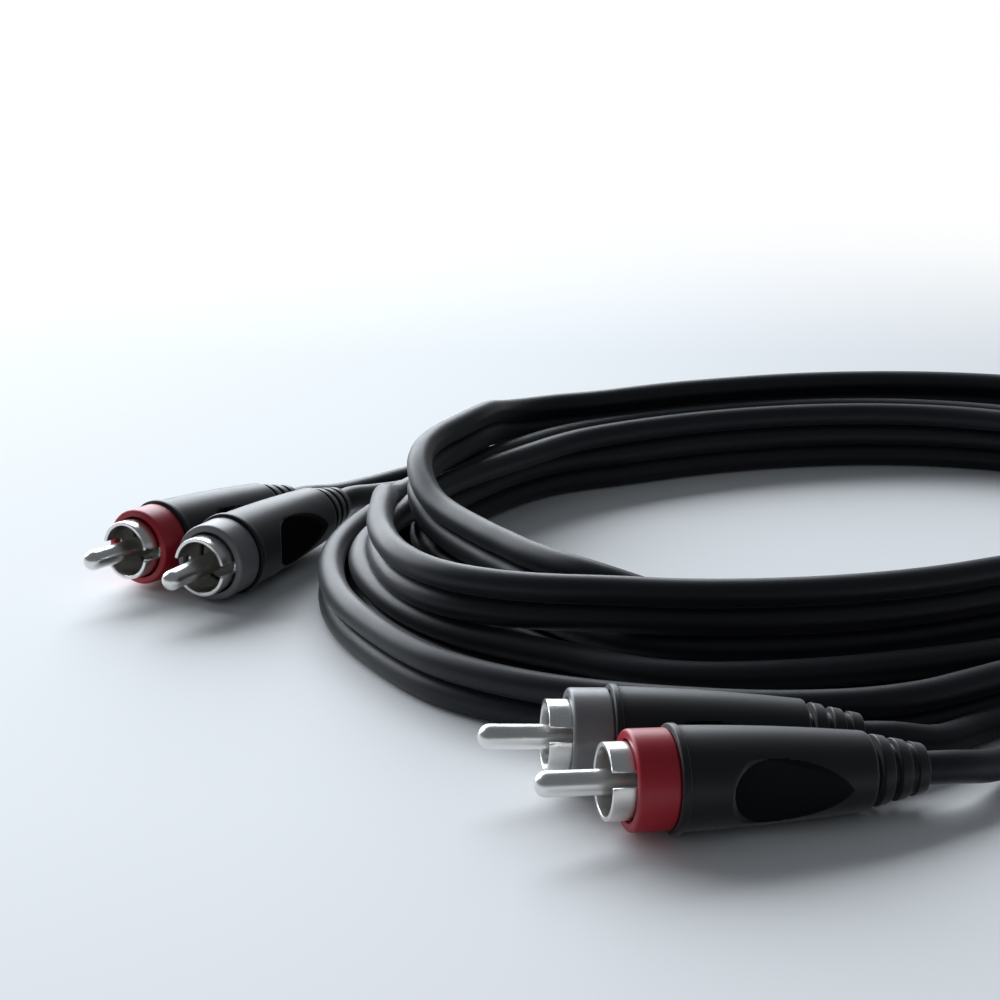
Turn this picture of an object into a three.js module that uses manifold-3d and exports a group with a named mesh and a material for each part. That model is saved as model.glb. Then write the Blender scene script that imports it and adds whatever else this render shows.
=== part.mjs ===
// A stereo audio cable: a twin lead, loosely coiled on a table, with a moulded phono plug on each of its
// four ends. Millimetres, +Z up. The origin is on the table, under the middle of the four plugs.
import * as THREE from "three";
import { mergeVertices } from "three/addons/utils/BufferGeometryUtils.js";
import Module from "manifold-3d";

const manifold = await Module();
manifold.setup();

// Fits
const FIT_GAP = 0.3; // left between two pieces that touch

// Centre pin
const PIN_DIAMETER = 3.2;
const PIN_REACH = 8.5; // ahead of the collar's mouth
const PIN_NOSE = 1.5; // length of its rounded end
const SHANK_DIAMETER = 2.0; // where it passes through the insulator
const CUP_DIAMETER = 2.6; // solder cup at its back
const CUP_LENGTH = 2.4;
const CUP_FLOOR = 0.4;

// Collar, the ground contact, with a slot on each side
const COLLAR_DIAMETER = 9.5;
const COLLAR_WALL = 0.6;
const COLLAR_DEPTH = 9.2; // from its mouth to its floor
const COLLAR_FLOOR = 0.8;
const SLOT_WIDTH = 1.9;
const SLOT_LENGTH = 6.0;
const BARREL_WALL = 0.5; // of the narrow stem that grips the shield
const BARREL_LENGTH = 7.0;
const ANCHOR_DIAMETER = 7.2; // flange that holds the stem in the moulding
const ANCHOR_WIDTH = 0.9;
const ANCHOR_OFFSET = 1.6; // from the collar's floor

// Insulator between pin and collar
const INSULATOR_RECESS = 6.2; // its face lies this far inside the mouth
const NECK_DIAMETER = 3.6;
const NECK_LENGTH = 1.5; // behind the collar's floor

// Colour ring
const RING_DIAMETER = 12.4;
const RING_START = 2.8; // from the mouth
const RING_LENGTH = 5.0;
const RING_EDGE = 0.9; // radius of its front edge
const RING_SPIGOT_DIAMETER = 11.2;
const RING_SPIGOT_LENGTH = 1.8;

// Moulded housing and its ribbed strain relief
const LIP_DIAMETER = 13.4;
const LIP_LENGTH = 0.9;
const LIP_STEP = 0.25; // how far the body starts below the lip
const BODY_LENGTH = 25.2;
const BODY_REAR_DIAMETER = 9.8;
const BODY_BULGE = 0.25; // crown of the body's side
const RIB_COUNT = 3;
const RIB_WIDTH = 1.6;
const RIB_PITCH = 2.5;
const FIRST_RIB_DIAMETER = 9.0;
const LAST_RIB_DIAMETER = 6.8;
const RIB_TAPER = 0.3; // how much each rib narrows towards the lead
const RELIEF_WALL = 0.7; // between the lead's bore and the grooves' floors

// Thumb scoops, one on each side of the housing
const SCOOP_START = 15.1; // from the mouth
const SCOOP_LENGTH = 14.8;
const SCOOP_WIDTH = 10.0;
const SCOOP_DEPTH = 2.2; // at its front wall
const SCOOP_TAIL = 2.5; // how far its pointed end is drawn out on each side of where the floor surfaces

// Lead and what is inside it
const LEAD_DIAMETER = 4.2;
const SHIELD_DIAMETER = 3.6;
const SHIELD_WALL = 0.3;
const DIELECTRIC_DIAMETER = 2.4;
const DIELECTRIC_WALL = 0.4;
const CONDUCTOR_DIAMETER = 1.0;
const WAIST_ANGLE = THREE.MathUtils.degToRad(30); // where the twin's two lobes run together
const STRIP_STEP = 0.4; // each layer is stripped this much further back than the one inside it

// Coil, an oval ring that holds the wound twin lead
const COIL_CENTRE = new THREE.Vector2(60.6, 43.3);
const COIL_TURN = THREE.MathUtils.degToRad(30); // its long axis, from +X
const COIL_LONG_REACH = 88; // half of its length
const COIL_SHORT_REACH = 66; // half of its width
const COIL_BUNDLE_WIDTH = 22;
const COIL_HEIGHT = 17;
const COIL_EDGE = 4; // rounding of the bundle

// How fine the round surfaces are
const TURNED_SIDES = 24;
const PIN_SIDES = 12;
const NOSE_STEPS = 4;
const CORE_SIDES = 8;
const EDGE_STEPS = 3; // of the colour ring's rounded edge
const BODY_STEPS = 3; // along the housing's body
const SCOOP_SIDES = 4; // of each curve in a scoop's outline
const LEAD_SIDES = 10;
const TWIN_ARC_SIDES = 4; // of each of the twin's two lobes
const ROUTE_STEP = 8.4; // along the leads and the twin's tails
const COIL_SIDES = 36;
const COIL_EDGE_STEPS = 2;
const MERGE_DISTANCE = 1e-3; // vertices closer than this are one

// Where each plug lies: the middle of its collar's mouth, the way it points back to its lead, from +X,
// and how far its lead end droops. Its lead is the left (1) or the right (-1) one of its twin.
const PLUGS = [
  {
    name: "end_a_red",
    colour: "red",
    mouth: [-53.9, 28.2],
    heading: 55.8,
    droop: 3,
    twin: "end_a",
    side: 1,
  },
  {
    name: "end_a_grey",
    colour: "grey",
    mouth: [-40.9, 20.7],
    heading: 62.5,
    droop: 1,
    twin: "end_a",
    side: -1,
  },
  {
    name: "end_b_grey",
    colour: "grey",
    mouth: [12.2, -45.2],
    heading: 6.5,
    droop: 3,
    twin: "end_b",
    side: 1,
  },
  {
    name: "end_b_red",
    colour: "red",
    mouth: [18.9, -58.4],
    heading: 12,
    droop: 3,
    twin: "end_b",
    side: -1,
  },
];

// Route of each single lead between its strain relief and the twin, and of each twin tail to the coil
const LEAD_ROUTES = {
  end_a_red: [
    [-23.8, 72.2, 3.2],
    [-17.9, 80.1, 2.3],
    [-10.9, 87.5, 2.15],
  ],
  end_a_grey: [
    [-16.0, 68.8, 4.2],
    [-11.0, 77.3, 2.5],
    [-5.7, 85.3, 2.15],
  ],
  end_b_grey: [
    [63.1, -37.6, 3.2],
    [69.6, -31.9, 2.3],
    [76.6, -26.4, 2.15],
    [85.1, -22.8, 2.15],
  ],
  end_b_red: [
    [68.6, -45.4, 3.3],
    [74.1, -39.7, 2.3],
    [80.6, -33.5, 2.15],
    [88.3, -27.8, 2.15],
  ],
};
const TWIN_ROUTES = {
  end_a: [
    [2.6, 97.0, 2.15],
    [11.1, 102.3, 2.15],
    [20.6, 107.1, 2.15],
    [30.6, 111.0, 2.15],
    [40.7, 113.4, 2.15],
    [50.1, 114.0, 2.15],
  ],
  end_b: [
    [98.9, -17.4, 2.15],
    [106.6, -12.8, 2.15],
    [114.1, -6.9, 2.15],
    [121.6, 0.4, 2.15],
    [126.9, 7.5, 2.15],
    [130.5, 13.8, 2.15],
  ],
};

// Sizes and stations that follow. A station is a distance from the collar's mouth towards the lead.
const collarRadius = COLLAR_DIAMETER / 2;
const collarBore = collarRadius - COLLAR_WALL;
const floorBack = COLLAR_DEPTH + COLLAR_FLOOR;
const neckRadius = NECK_DIAMETER / 2;
const barrelBore = neckRadius + FIT_GAP;
const barrelRadius = barrelBore + BARREL_WALL;
const barrelEnd = floorBack + BARREL_LENGTH;
const anchorStart = floorBack + ANCHOR_OFFSET;
const neckEnd = floorBack + NECK_LENGTH;
const cupStart = neckEnd + FIT_GAP;
const cupEnd = cupStart + CUP_LENGTH;
const ringEnd = RING_START + RING_LENGTH;
const spigotEnd = ringEnd + RING_SPIGOT_LENGTH;
const housingStart = ringEnd + FIT_GAP;
const lipRadius = LIP_DIAMETER / 2;
const bodyEnd = housingStart + BODY_LENGTH;
const reliefEnd = bodyEnd + RIB_COUNT * RIB_PITCH;
const leadRadius = LEAD_DIAMETER / 2;
const leadBore = leadRadius + FIT_GAP;
const jacketStart = barrelEnd + FIT_GAP;
const tableHeight = 0;

const MATERIALS = {
  nickel: new THREE.MeshStandardMaterial({
    color: 0xd9d7cf,
    roughness: 0.22,
    metalness: 1,
  }),
  copper: new THREE.MeshStandardMaterial({
    color: 0xb87346,
    roughness: 0.4,
    metalness: 1,
  }),
  black: new THREE.MeshStandardMaterial({
    color: 0x26282c,
    roughness: 0.5,
    metalness: 0,
  }),
  jacket: new THREE.MeshStandardMaterial({
    color: 0x34363b,
    roughness: 0.6,
    metalness: 0,
  }),
  white: new THREE.MeshStandardMaterial({
    color: 0xe9e6dc,
    roughness: 0.5,
    metalness: 0,
  }),
  insulator: new THREE.MeshStandardMaterial({
    color: 0x3b362f,
    roughness: 0.55,
    metalness: 0,
  }),
  red: new THREE.MeshStandardMaterial({
    color: 0xb3202f,
    roughness: 0.45,
    metalness: 0,
  }),
  grey: new THREE.MeshStandardMaterial({
    color: 0x86868a,
    roughness: 0.45,
    metalness: 0,
  }),
};

// A geometry with position alone, its shared vertices merged and its slivers at the axis left out.
function bareGeometry(geometry) {
  const bare = new THREE.BufferGeometry();
  bare.setAttribute("position", geometry.getAttribute("position"));
  bare.setIndex(geometry.index);
  const merged = mergeVertices(bare, MERGE_DISTANCE);
  const corners = merged.index.array;
  const kept = [];
  for (let i = 0; i < corners.length; i += 3) {
    const [a, b, c] = [corners[i], corners[i + 1], corners[i + 2]];
    if (a !== b && b !== c && c !== a) kept.push(a, b, c);
  }
  merged.setIndex(kept);
  return merged;
}

// A closed geometry as a solid that can be joined and cut.
function solidOf(geometry) {
  const bare = bareGeometry(geometry);
  return new manifold.Manifold(
    new manifold.Mesh({
      numProp: 3,
      vertProperties: new Float32Array(bare.getAttribute("position").array),
      triVerts: new Uint32Array(bare.index.array),
    }),
  );
}

// A solid as a geometry that a mesh can show.
function geometryOf(solid) {
  const mesh = solid.getMesh();
  const geometry = new THREE.BufferGeometry();
  geometry.setAttribute(
    "position",
    new THREE.BufferAttribute(new Float32Array(mesh.vertProperties), 3),
  );
  geometry.setIndex(
    new THREE.BufferAttribute(new Uint32Array(mesh.triVerts), 1),
  );
  geometry.computeVertexNormals();
  return geometry;
}

// Turns an outline of [radius, station] points round the X axis. The outline runs towards the lead in the
// bore, and back to the mouth over the outside.
function turned(outline, sides) {
  const points = outline
    .map(([radius, station]) => new THREE.Vector2(radius, station))
    .reverse();
  const geometry = new THREE.LatheGeometry(points, sides);
  geometry.rotateZ(-Math.PI / 2);
  return geometry;
}

// A plain tube between two stations, or a rod where the bore is 0.
function tubeOutline(bore, radius, start, end) {
  const outline = [
    [bore, end],
    [radius, end],
    [radius, start],
    [bore, start],
  ];
  if (bore > 0) outline.push([bore, end]);
  return outline;
}

// Points of a quarter round from one end of it to the other, about a centre.
function quarterRound(centre, radius, fromAngle, toAngle, steps) {
  return Array.from({ length: steps + 1 }, (_, i) => {
    const angle = THREE.MathUtils.lerp(fromAngle, toAngle, i / steps);
    return [
      centre[0] + radius * Math.cos(angle),
      centre[1] + radius * Math.sin(angle),
    ];
  });
}

// The contact pin: a rounded nose, a plain front, a thin shank and a solder cup.
function pinGeometry() {
  const front = PIN_DIAMETER / 2;
  const shank = SHANK_DIAMETER / 2;
  const cup = CUP_DIAMETER / 2;
  const cupBore = CONDUCTOR_DIAMETER / 2 + FIT_GAP;
  const nose = Array.from({ length: NOSE_STEPS + 1 }, (_, i) => {
    const angle = (i / NOSE_STEPS) * (Math.PI / 2);
    return [
      front * Math.cos(angle),
      PIN_NOSE * (1 - Math.sin(angle)) - PIN_REACH,
    ];
  });
  nose[NOSE_STEPS][0] = 0;
  const shoulder = INSULATOR_RECESS - FIT_GAP;
  return turned(
    [
      [0, cupStart + CUP_FLOOR],
      [cupBore, cupStart + CUP_FLOOR],
      [cupBore, cupEnd],
      [cup, cupEnd],
      [cup, cupStart],
      [shank, cupStart],
      [shank, shoulder],
      [front, shoulder],
      ...nose,
    ],
    PIN_SIDES,
  );
}

// The ground contact: a thin cup with two slots, and behind its floor a barrel with an anchor flange.
function collarGeometry() {
  const anchor = ANCHOR_DIAMETER / 2;
  const body = solidOf(
    turned(
      [
        [barrelBore, COLLAR_DEPTH],
        [barrelBore, barrelEnd],
        [barrelRadius, barrelEnd],
        [barrelRadius, anchorStart + ANCHOR_WIDTH],
        [anchor, anchorStart + ANCHOR_WIDTH],
        [anchor, anchorStart],
        [barrelRadius, anchorStart],
        [barrelRadius, floorBack],
        [collarRadius, floorBack],
        [collarRadius, 0],
        [collarBore, 0],
        [collarBore, COLLAR_DEPTH],
        [barrelBore, COLLAR_DEPTH],
      ],
      TURNED_SIDES,
    ),
  );
  const overrun = 1;
  const slot = new THREE.BoxGeometry(
    SLOT_LENGTH + overrun,
    COLLAR_DIAMETER + overrun,
    SLOT_WIDTH,
  );
  slot.translate((SLOT_LENGTH - overrun) / 2, 0, 0);
  const windowLength = CUP_LENGTH + 2 * FIT_GAP;
  const window = new THREE.BoxGeometry(
    windowLength,
    CUP_DIAMETER,
    barrelRadius + overrun,
  );
  window.translate(
    anchorStart + ANCHOR_WIDTH + FIT_GAP + windowLength / 2,
    0,
    (barrelRadius + overrun) / 2,
  );
  return geometryOf(body.subtract(solidOf(slot)).subtract(solidOf(window)));
}

// The plastic disc that holds the pin in the collar, with a neck through the collar's floor.
function insulatorGeometry() {
  const disc = collarBore - FIT_GAP;
  const bore = SHANK_DIAMETER / 2 + FIT_GAP;
  const discBack = COLLAR_DEPTH - FIT_GAP;
  return turned(
    [
      [bore, neckEnd],
      [neckRadius, neckEnd],
      [neckRadius, discBack],
      [disc, discBack],
      [disc, INSULATOR_RECESS],
      [bore, INSULATOR_RECESS],
      [bore, neckEnd],
    ],
    PIN_SIDES,
  );
}

// The colour ring: round at its front edge, with a spigot that seats in the housing.
function ringGeometry() {
  const radius = RING_DIAMETER / 2;
  const bore = collarRadius + FIT_GAP;
  const spigot = RING_SPIGOT_DIAMETER / 2;
  const edge = Math.min(RING_EDGE, radius - bore);
  return turned(
    [
      [bore, spigotEnd],
      [spigot, spigotEnd],
      [spigot, ringEnd],
      [radius, ringEnd],
      ...quarterRound(
        [radius - edge, RING_START + edge],
        edge,
        0,
        -Math.PI / 2,
        EDGE_STEPS,
      ),
      [bore, RING_START],
      [bore, spigotEnd],
    ],
    TURNED_SIDES,
  );
}

// Radius of the housing's body at a station, without its scoops.
function bodyRadius(station) {
  const share = (station - housingStart) / BODY_LENGTH;
  const straight = THREE.MathUtils.lerp(
    lipRadius - LIP_STEP,
    BODY_REAR_DIAMETER / 2,
    share,
  );
  return straight + BODY_BULGE * Math.sin(Math.PI * share);
}

// Outside of the strain relief, from the body to the lead: a groove and a rib by turns.
function reliefOutline() {
  const grooveRadius = leadBore + RELIEF_WALL;
  return Array.from({ length: RIB_COUNT }, (_, i) => {
    const share = RIB_COUNT > 1 ? i / (RIB_COUNT - 1) : 0;
    const ribRadius =
      THREE.MathUtils.lerp(FIRST_RIB_DIAMETER, LAST_RIB_DIAMETER, share) / 2;
    const ribEnd = bodyEnd + (i + 1) * RIB_PITCH;
    return [
      [grooveRadius, ribEnd - RIB_PITCH],
      [grooveRadius, ribEnd - RIB_WIDTH],
      [ribRadius, ribEnd - RIB_WIDTH],
      [ribRadius - RIB_TAPER, ribEnd],
    ];
  }).flat();
}

// One thumb scoop as a cutter on the +Y side: a teardrop outline, round at the front and pointed at the
// lead end, whose floor ramps out to the surface.
function scoopCutter() {
  const half = SCOOP_WIDTH / 2;
  const outline = new THREE.Shape();
  outline.absarc(half, 0, half, Math.PI / 2, (3 * Math.PI) / 2, false);
  const shoulder = SCOOP_LENGTH - SCOOP_TAIL;
  outline.quadraticCurveTo(shoulder, -half, SCOOP_LENGTH + SCOOP_TAIL, 0);
  outline.quadraticCurveTo(shoulder, half, half, half);
  const reach = LIP_DIAMETER;
  const cutter = new THREE.ExtrudeGeometry(outline, {
    depth: reach,
    bevelEnabled: false,
    curveSegments: SCOOP_SIDES,
  });
  cutter.rotateX(-Math.PI / 2);
  const frontFloor = bodyRadius(SCOOP_START) - SCOOP_DEPTH;
  const rise = bodyRadius(SCOOP_START + SCOOP_LENGTH) - frontFloor;
  cutter.rotateZ(Math.atan2(rise, SCOOP_LENGTH));
  cutter.translate(SCOOP_START, frontFloor, 0);
  return cutter;
}

// The moulded housing with its lip, tapered body, thumb scoops and strain relief, open at both ends.
function housingGeometry() {
  const body = Array.from({ length: BODY_STEPS + 1 }, (_, i) => {
    const station = THREE.MathUtils.lerp(
      housingStart + LIP_LENGTH,
      bodyEnd,
      i / BODY_STEPS,
    );
    return [bodyRadius(station), station];
  });
  const outside = [
    [lipRadius, housingStart],
    [lipRadius, housingStart + LIP_LENGTH],
    ...body,
    ...reliefOutline(),
  ];
  const anchorBore = ANCHOR_DIAMETER / 2 + FIT_GAP;
  const inside = [
    [leadBore, reliefEnd],
    [leadBore, jacketStart],
    [barrelRadius + FIT_GAP, jacketStart],
    [barrelRadius + FIT_GAP, anchorStart + ANCHOR_WIDTH + FIT_GAP],
    [anchorBore, anchorStart + ANCHOR_WIDTH + FIT_GAP],
    [anchorBore, floorBack + FIT_GAP],
    [collarRadius + FIT_GAP, floorBack + FIT_GAP],
    [collarRadius + FIT_GAP, spigotEnd + FIT_GAP],
    [RING_SPIGOT_DIAMETER / 2 + FIT_GAP, spigotEnd + FIT_GAP],
    [RING_SPIGOT_DIAMETER / 2 + FIT_GAP, housingStart],
  ];
  const outline = [...inside, ...outside, inside[0]].reverse();
  const shell = solidOf(turned(outline, TURNED_SIDES));
  const scoop = scoopCutter();
  const farScoop = scoop.clone().rotateX(Math.PI);
  return geometryOf(
    shell.subtract(solidOf(scoop)).subtract(solidOf(farScoop)),
  );
}

// A mesh with its name and material.
function mesh(name, geometry, material) {
  const made = new THREE.Mesh(geometry, MATERIALS[material]);
  made.name = name;
  return made;
}

// The stripped end of the lead inside the housing: conductor, dielectric and shield.
function strippedEnd(name) {
  const conductor = CONDUCTOR_DIAMETER / 2;
  const dielectric = DIELECTRIC_DIAMETER / 2;
  const shield = SHIELD_DIAMETER / 2;
  const conductorStart = cupStart + CUP_FLOOR + FIT_GAP;
  const dielectricStart = cupEnd + FIT_GAP;
  const shieldStart = dielectricStart + STRIP_STEP;
  return [
    mesh(
      `${name}_conductor`,
      turned(tubeOutline(0, conductor, conductorStart, barrelEnd), CORE_SIDES),
      "copper",
    ),
    mesh(
      `${name}_dielectric`,
      turned(
        tubeOutline(
          dielectric - DIELECTRIC_WALL,
          dielectric,
          dielectricStart,
          barrelEnd,
        ),
        CORE_SIDES,
      ),
      "white",
    ),
    mesh(
      `${name}_shield`,
      turned(
        tubeOutline(shield - SHIELD_WALL, shield, shieldStart, barrelEnd),
        PIN_SIDES,
      ),
      "copper",
    ),
  ];
}

// One plug, along +X from its collar's mouth to its strain relief.
function plug({ name, colour }) {
  const group = new THREE.Group();
  group.add(
    mesh(`${name}_pin`, pinGeometry(), "nickel"),
    mesh(`${name}_collar`, collarGeometry(), "nickel"),
    mesh(`${name}_insulator`, insulatorGeometry(), "insulator"),
    mesh(`${name}_colour_ring`, ringGeometry(), colour),
    mesh(`${name}_housing`, housingGeometry(), "black"),
    ...strippedEnd(name),
  );
  return group;
}

// Lays a plug on the table on the edge of its lip.
function placePlug(group, { mouth, heading, droop }) {
  const pitch = THREE.MathUtils.degToRad(droop);
  const yaw = THREE.MathUtils.degToRad(heading);
  const mouthHeight =
    tableHeight +
    lipRadius * Math.cos(pitch) +
    (housingStart + LIP_LENGTH) * Math.sin(pitch);
  group.rotation.set(0, pitch, yaw, "ZYX");
  group.position.set(mouth[0], mouth[1], mouthHeight);
  group.updateMatrixWorld(true);
}

// A round outline of one lead, or the figure of eight of the twin, whose long way is the Y axis.
function leadOutline() {
  const outline = new THREE.Shape();
  outline.absarc(0, 0, leadRadius, 0, 2 * Math.PI, false);
  return outline;
}

function twinOutline() {
  const waist = leadRadius * Math.sin(WAIST_ANGLE);
  const outline = new THREE.Shape();
  outline.moveTo(waist, 0);
  outline.absarc(
    0,
    leadRadius,
    leadRadius,
    -WAIST_ANGLE,
    Math.PI + WAIST_ANGLE,
    false,
  );
  outline.lineTo(-waist, 0);
  outline.absarc(
    0,
    -leadRadius,
    leadRadius,
    Math.PI - WAIST_ANGLE,
    2 * Math.PI + WAIST_ANGLE,
    false,
  );
  return outline;
}

// A section carried along a smooth curve through the points.
function swept(outline, points, stepLength, curveSegments) {
  const path = new THREE.CatmullRomCurve3(points, false, "centripetal");
  return new THREE.ExtrudeGeometry(outline, {
    extrudePath: path,
    steps: Math.ceil(path.getLength() / stepLength),
    bevelEnabled: false,
    curveSegments,
  });
}

// The coil: a bundle's rounded section turned into a ring, drawn out to an oval.
function coilGeometry() {
  const outer = COIL_SHORT_REACH - COIL_EDGE;
  const inner = COIL_SHORT_REACH - COIL_BUNDLE_WIDTH + COIL_EDGE;
  const bottom = tableHeight + COIL_EDGE;
  const top = tableHeight + COIL_HEIGHT - COIL_EDGE;
  const corners = [
    [outer, bottom],
    [outer, top],
    [inner, top],
    [inner, bottom],
  ];
  const outline = corners.flatMap((corner, i) => {
    const start = ((i - 1) * Math.PI) / 2;
    return quarterRound(
      corner,
      COIL_EDGE,
      start,
      start + Math.PI / 2,
      COIL_EDGE_STEPS,
    );
  });
  const points = [...outline, outline[0]].map(
    ([radius, height]) => new THREE.Vector2(radius, height),
  );
  const geometry = new THREE.LatheGeometry(points, COIL_SIDES);
  geometry.rotateX(Math.PI / 2);
  return geometry;
}

function coil() {
  const made = mesh("cable_coil", coilGeometry(), "jacket");
  made.scale.set(COIL_LONG_REACH / COIL_SHORT_REACH, 1, 1);
  made.rotation.z = COIL_TURN;
  made.position.set(COIL_CENTRE.x, COIL_CENTRE.y, 0);
  return made;
}

function twinPoints(name) {
  return TWIN_ROUTES[name].map((point) => new THREE.Vector3(...point));
}

// A point of one lead a distance ahead of the place where the two leads join as the twin.
function besideTwin({ twin, side }, distance) {
  const [start, next] = twinPoints(twin);
  const along = next.clone().sub(start).normalize();
  const left = new THREE.Vector3(-along.y, along.x, 0).normalize();
  return start
    .clone()
    .addScaledVector(along, -distance)
    .addScaledVector(left, side * leadRadius);
}

// A single lead: straight out of the stripped end through the strain relief, along its route, and up to
// the twin beside its neighbour.
function lead(lay, plugGroup) {
  const clear = reliefEnd + LEAD_DIAMETER;
  const stations = [
    jacketStart,
    (jacketStart + reliefEnd) / 2,
    reliefEnd,
    clear,
  ];
  const straight = stations.map((station) =>
    plugGroup.localToWorld(new THREE.Vector3(station, 0, 0)),
  );
  const route = LEAD_ROUTES[lay.name].map(
    (point) => new THREE.Vector3(...point),
  );
  const points = [
    ...straight,
    ...route,
    besideTwin(lay, LEAD_DIAMETER),
    besideTwin(lay, FIT_GAP),
  ];
  const geometry = swept(
    leadOutline(),
    points,
    ROUTE_STEP,
    LEAD_SIDES / 2,
  );
  return mesh(`${lay.name}_lead`, geometry, "jacket");
}

function twinTail(name) {
  const geometry = swept(
    twinOutline(),
    twinPoints(name),
    ROUTE_STEP,
    TWIN_ARC_SIDES / 2,
  );
  return mesh(`${name}_twin_tail`, geometry, "jacket");
}

const cable = new THREE.Group();
for (const lay of PLUGS) {
  const group = plug(lay);
  placePlug(group, lay);
  cable.add(group, lead(lay, group));
}
cable.add(coil(), ...Object.keys(TWIN_ROUTES).map(twinTail));

export default cable;
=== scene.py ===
"""A stereo audio cable: a twin lead, loosely coiled on a pale table, with four moulded phono plugs.

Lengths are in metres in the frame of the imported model. A station is a distance from the mouth of a plug's
collar towards its lead.
"""

from __future__ import annotations

import logging
import math
from dataclasses import dataclass, field
from enum import Enum

import bpy
import numpy as np
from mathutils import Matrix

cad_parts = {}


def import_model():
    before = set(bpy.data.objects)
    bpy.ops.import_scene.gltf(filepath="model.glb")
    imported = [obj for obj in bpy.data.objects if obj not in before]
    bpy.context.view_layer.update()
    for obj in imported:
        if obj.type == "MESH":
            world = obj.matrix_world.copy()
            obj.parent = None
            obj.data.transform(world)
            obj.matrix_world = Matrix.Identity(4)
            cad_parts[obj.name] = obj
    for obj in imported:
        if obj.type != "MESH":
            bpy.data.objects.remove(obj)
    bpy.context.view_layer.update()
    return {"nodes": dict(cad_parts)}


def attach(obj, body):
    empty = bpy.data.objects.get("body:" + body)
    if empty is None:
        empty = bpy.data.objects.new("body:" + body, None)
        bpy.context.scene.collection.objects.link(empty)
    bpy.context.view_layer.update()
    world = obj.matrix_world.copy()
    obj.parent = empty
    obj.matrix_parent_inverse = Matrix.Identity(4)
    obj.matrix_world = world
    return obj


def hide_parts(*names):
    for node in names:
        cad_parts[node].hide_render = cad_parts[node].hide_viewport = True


LOG = logging.getLogger("cable")
MM = 1e-3

Rgb = tuple[float, float, float]
Point = tuple[float, float, float]
Filling = bpy.types.NodeSocket | float | tuple[float, ...]

# Roundings of a profile's corners, and the longest sides that are left in it, in millimetres.
KEEN, CRISP, EASED, SOFT = 0.05, 0.1, 0.15, 0.3
FINE_STEP, PLAIN_STEP = 0.18, 0.8
# Share of a side that the rounding of one of its corners takes up at most.
LARGEST_CUT = 0.48


class Colour(Enum):
    """The colour that marks a plug, and with it one lead of the twin."""

    RED = "red"
    GREY = "grey"


class Slot(Enum):
    """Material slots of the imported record."""

    NICKEL = "nickel"
    COPPER = "copper"
    INSULATOR = "insulator"
    DIELECTRIC = "dielectric"
    MOULDING = "moulding"
    JACKET = "jacket"
    RED_RING = "red_ring"
    GREY_RING = "grey_ring"


@dataclass(frozen=True)
class Grain:
    """One layer of fine relief or mottling on a finish.

    Attributes:
        scale: Features per metre, or per unit of the attribute that it follows.
        relief: Depth of the bump in metres.
        mottle: How far the roughness strays, from 0 to 1.
        follows: Name of the vector attribute that it reads, or nothing for object coordinates.
        stretch: How much longer a feature is along the third axis than across it.
    """

    scale: float
    relief: float
    mottle: float
    follows: str = ""
    stretch: float = 1.0


class Shading:
    """A new material, and short ways to add nodes to it."""

    def __init__(self, name: str) -> None:
        """Starts with the plain shader that a new material has."""
        self.material = bpy.data.materials.new(name)
        self.material.use_nodes = True
        self.nodes = self.material.node_tree.nodes
        self.shader = self.nodes["Principled BSDF"]
        self.place = self.nodes.new("ShaderNodeTexCoord").outputs["Object"]

    def fill(self, node: bpy.types.Node, inputs: dict[str | int, Filling]) -> None:
        """Fills inputs of a node.

        Args:
            node: The node.
            inputs: For each input its plain value, or the output that leads to it.
        """
        for name, filling in inputs.items():
            if isinstance(filling, bpy.types.NodeSocket):
                self.material.node_tree.links.new(filling, node.inputs[name])
            else:
                node.inputs[name].default_value = filling

    def node(self, kind: str, inputs: dict[str | int, Filling], **options: str) -> bpy.types.Node:
        """Adds a node.

        Args:
            kind: Its type, without the ShaderNode that each type's name starts with.
            inputs: For each input its plain value, or the output that leads to it.
            options: The node's own settings.
        """
        added = self.nodes.new(f"ShaderNode{kind}")
        for option, choice in options.items():
            setattr(added, option, choice)
        self.fill(added, inputs)
        return added

    def math(self, operation: str, *values: Filling) -> bpy.types.NodeSocket:
        """Adds a sum or product of values and gives its output."""
        return self.node("Math", dict(enumerate(values)), operation=operation).outputs[0]

    def tint(self, share: bpy.types.NodeSocket, low: Rgb, high: Rgb) -> bpy.types.NodeSocket:
        """Adds a mix of two colours and gives its output: the first at a share of 0, the second at 1."""
        colours = {"Factor": share, "A": (*low, 1.0), "B": (*high, 1.0)}
        return self.node("Mix", colours, data_type="RGBA").outputs["Result"]

    def ramp(
        self,
        value: bpy.types.NodeSocket,
        source: tuple[float, float],
        target: tuple[float, float] = (0.0, 1.0),
        **options: str,
    ) -> bpy.types.NodeSocket:
        """Adds a node that carries one range of values over to another, and holds them inside it.

        Args:
            value: What it reads.
            source: The range that it reads.
            target: The range that it gives.
            options: The node's own settings.
        """
        names = "Value", "From Min", "From Max", "To Min", "To Max"
        ends = dict(zip(names, (value, *source, *target)))
        return self.node("MapRange", ends, **options).outputs["Result"]


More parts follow.
